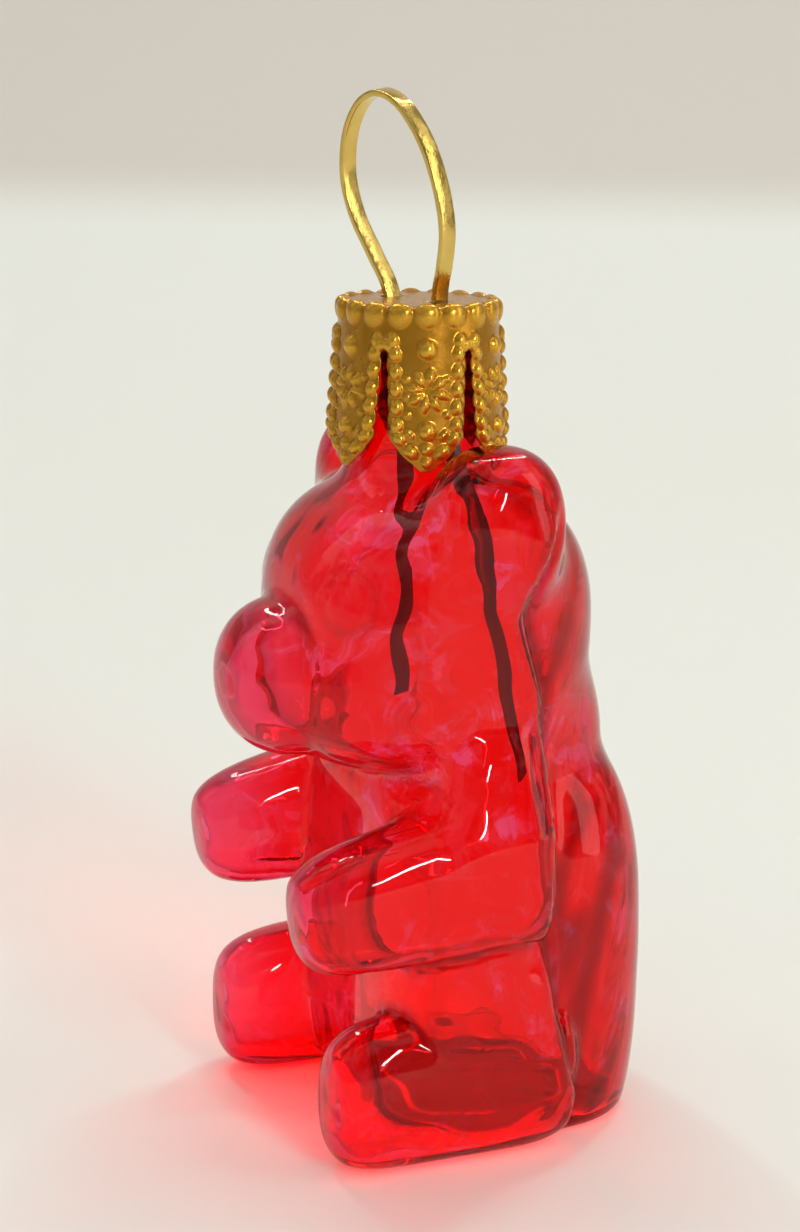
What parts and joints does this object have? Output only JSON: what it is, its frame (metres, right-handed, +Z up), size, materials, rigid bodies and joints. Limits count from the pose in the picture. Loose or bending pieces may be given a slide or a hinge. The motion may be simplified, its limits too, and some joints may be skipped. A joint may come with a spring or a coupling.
{
  "type": "glass gummy bear tree ornament",
  "caption": "Hollow blown glass tree ornament in the shape of a seated gummy bear, with a gilt crown cap and a flat wire hanging loop.",
  "frame": {"origin": "middle of the underside of the whole, on the surface the bear sits on", "axes": "+Z up, the bear looks along -Y and its left side is +X"},
  "size_m": [0.026, 0.029, 0.069],
  "materials": {
    "red_glass": "clear red blown glass, glossy",
    "gilt_cap": "gold lacquered thin sheet, embossed, satin to glossy",
    "brass_wire": "bright flat strip with light handling marks"
  },
  "bodies": {
    "root": {"glass_bear": "red_glass", "cap": "gilt_cap", "hanger_wire": "brass_wire"}
  },
  "joints": []
}
